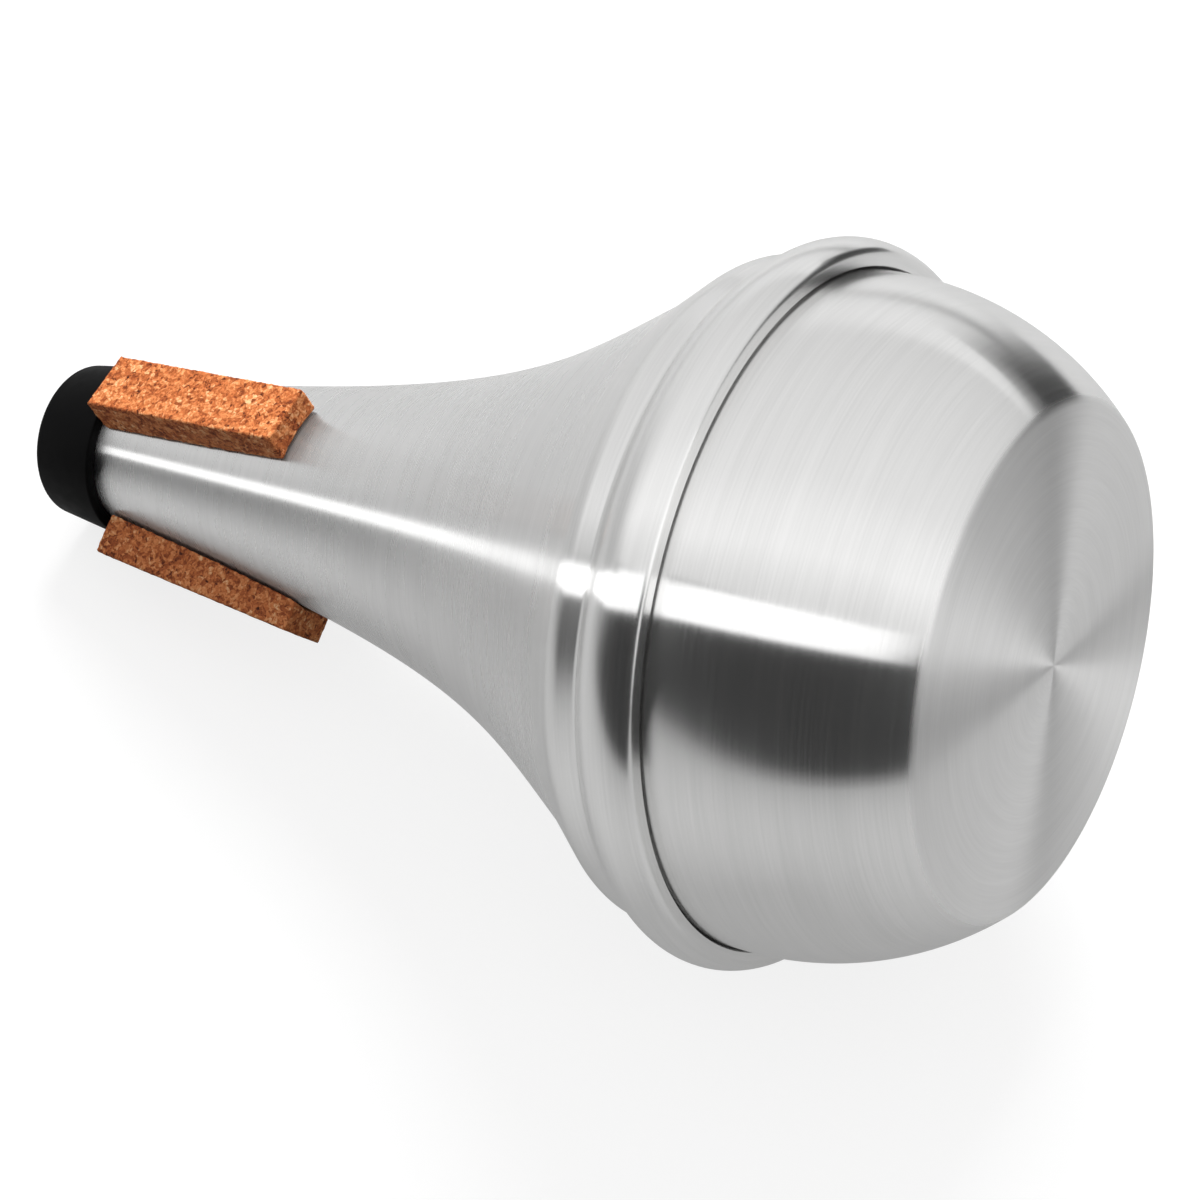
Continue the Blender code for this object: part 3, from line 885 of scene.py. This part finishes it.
# %% Ribbons that draw the streak
RIBBON_AWAY = 0.90
RIBBON_ABOVE_FLOOR = 0.001
SLOPE_STEP = 0.0004
CUP_STATIONS = (0.004, 0.009, 0.015, 0.021, 0.027, WALL_END)
HORN_STATIONS = (WALL_END, 0.138, 0.118, 0.098)
FLARE_STATIONS = (0.098, 0.087, 0.078, 0.068, 0.058)

facing = (to_camera - axis * to_camera.dot(axis)).normalized()
aside = facing.cross(axis)


def skin_at(height):
    """The skin's radius at a height, and the angle by which it faces towards the small end."""
    line = cup if height < SEAM_HEIGHT else horn
    below = radius_on(line, height - SLOPE_STEP)
    above = radius_on(line, height + SLOPE_STEP)
    return radius_on(line, height), atan2(below - above, 2 * SLOPE_STEP)


def mirrored_at(height, turn):
    """A place on the mute's skin, and the direction that the camera sees mirrored there."""
    radius, slope = skin_at(height)
    out = facing * cos(turn) - aside * sin(turn)
    place = end_middle + axis * height + out * radius
    normal = out * cos(slope) + axis * sin(slope)
    look = (CAMERA_PLACE - place).normalized()
    return place, normal * (2 * normal.dot(look)) - look


def bent_ribbon(name, level, turns, stations):
    """A glowing ribbon whose mirror image runs straight along the mute, seen only by metal."""
    bm = bmesh.new()
    rows = []
    for height in stations:
        row = []
        for turn in turns:
            place, ray = mirrored_at(height, radians(turn))
            reach = RIBBON_AWAY
            if ray.z < 0.0:
                reach = min(reach, (RIBBON_ABOVE_FLOOR - place.z) / ray.z)
            row.append(bm.verts.new(place + ray * reach))
        rows.append(row)
    for (a, b), (c, d) in zip(rows, rows[1:]):
        bm.faces.new((a, b, d, c))
    mesh = bpy.data.meshes.new(name)
    bm.to_mesh(mesh)
    bm.free()
    ribbon = bpy.data.objects.new(name, mesh)
    bpy.context.scene.collection.objects.link(ribbon)
    glow(ribbon, level)
    ribbon.visible_diffuse = False
    ribbon.visible_shadow = False
    print(name, "spans", [round(v, 2) for v in ribbon.dimensions], "metres")


bent_ribbon("strip_for_cup", 1.30, (-6.2, -0.6), CUP_STATIONS)
bent_ribbon("strip_for_horn", 1.45, (-6.4, -1.4), HORN_STATIONS)
bent_ribbon("strip_for_flare", 1.60, (-5.9, -2.0), FLARE_STATIONS)

# %% [markdown]
# Below the soft box's edge, the mute sees the room behind the camera, which is unlit. That is
# the dark patch under the streak. The patch ends softly at its foot, where the room meets the
# table, and the room gets lighter far to the left, which keeps the horn's side grey.

# %% Dark room
ROOM_AZIMUTH = radians(18)
ROOM_AWAY = 1.25
ROOM_HEIGHT = 1.2
ROOM_LEFT = -9.6
ROOM_RIGHT = 3.0
ROOM_DARK = 0.045

towards = bearing(ROOM_AZIMUTH)
along = bearing(ROOM_AZIMUTH + pi / 2)
room_middle = (towards * ROOM_AWAY + along * ((ROOM_LEFT + ROOM_RIGHT) / 2)
               + UPWARDS * (ROOM_HEIGHT / 2))
dark_room = stage_sheet("dark_room", ROOM_RIGHT - ROOM_LEFT, ROOM_HEIGHT, room_middle,
                        Matrix.Rotation(ROOM_AZIMUTH, 4, "Z") @ UPRIGHT)
glow(dark_room, 0.0,
     (UPWARDS, (0.0, 0.28), (0.02, 0.25), (0.11, ROOM_DARK), (ROOM_HEIGHT, ROOM_DARK)),
     (along, (ROOM_LEFT, 0.42), (-4.0, 0.30), (-1.9, 0.08), (-0.8, 0.0), (ROOM_RIGHT, 0.0)))
print("dark room stands at", [round(v, 2) for v in room_middle])

# %% [markdown]
# The closed end is nearly flat and ringed with lines, so it mirrors a bright thing as two
# opposite fans of light, a bow tie. A low dark case near the end makes the dark fans, and
# darkens the far side of the cup as well. A bright panel to the right makes the light ones.

# %% Dark case and bright side
CASE_AZIMUTH = radians(145)
CASE_AWAY = 0.30
CASE_HEIGHT = 0.17
CASE_WIDTH = 0.52
CASE_DARK_WIDTH = 0.36
CASE_DARK = 0.05
CASE_EDGE = 0.45

case_foot = Vector((end_middle.x, 0.0, 0.0)) + bearing(CASE_AZIMUTH) * CASE_AWAY
along = bearing(CASE_AZIMUTH + pi / 2)
middle = case_foot.dot(along)
dark_case = stage_sheet("dark_case", CASE_WIDTH, CASE_HEIGHT,
                        case_foot + UPWARDS * (CASE_HEIGHT / 2),
                        Matrix.Rotation(CASE_AZIMUTH, 4, "Z") @ UPRIGHT)
glow(dark_case, 0.0,
     (UPWARDS, (0.0, 0.20), (0.03, CASE_DARK), (0.12, CASE_DARK), (CASE_HEIGHT, 0.40)),
     (along, (middle - CASE_WIDTH / 2, CASE_EDGE), (middle - CASE_DARK_WIDTH / 2, 0.0),
      (middle + CASE_DARK_WIDTH / 2, 0.0), (middle + CASE_WIDTH / 2, CASE_EDGE)))

SIDE_AZIMUTH = radians(97)
SIDE_AWAY = 1.0
SIDE_WIDTH = 0.55
SIDE_HEIGHT = 0.80
SIDE_LEVEL = 1.2

side_middle = Vector((end_middle.x, 0.0, SIDE_HEIGHT / 2)) + bearing(SIDE_AZIMUTH) * SIDE_AWAY
bright_side = stage_sheet("bright_side", SIDE_WIDTH, SIDE_HEIGHT, side_middle,
                          Matrix.Rotation(SIDE_AZIMUTH, 4, "Z") @ UPRIGHT)
glow(bright_side, SIDE_LEVEL)
print("dark case and bright side stand at",
      [[round(v, 2) for v in place] for place in (case_foot, side_middle)])

# %% [markdown]
# Cork and rubber show little of the panels. One wide lamp, high behind the mute and a little
# to the left, lights them as a window would: the corks' upper faces are bright, and the faces
# towards the camera are darker. It is kept out of the metal, which already mirrors the soft box.

# %% Lamp for the cork and the floor
LAMP_LEVEL = 1.30
LAMP_SIZE = 0.50
LAMP_PLACE = Vector((-0.20, 0.55, 0.55))

light = bpy.data.lights.new("window_light", "AREA")
light.shape = "DISK"
light.size = LAMP_SIZE
light.energy = LAMP_LEVEL * pi * (LAMP_PLACE.length_squared + (LAMP_SIZE / 2) ** 2) * pi
lamp = bpy.data.objects.new("window_light", light)
lamp.location = LAMP_PLACE
lamp.rotation_euler = LAMP_PLACE.to_track_quat("Z", "Y").to_euler()
lamp.visible_camera = False
lamp.visible_glossy = False
bpy.context.scene.collection.objects.link(lamp)
print("the lamp gives", round(light.energy, 1), "watts")
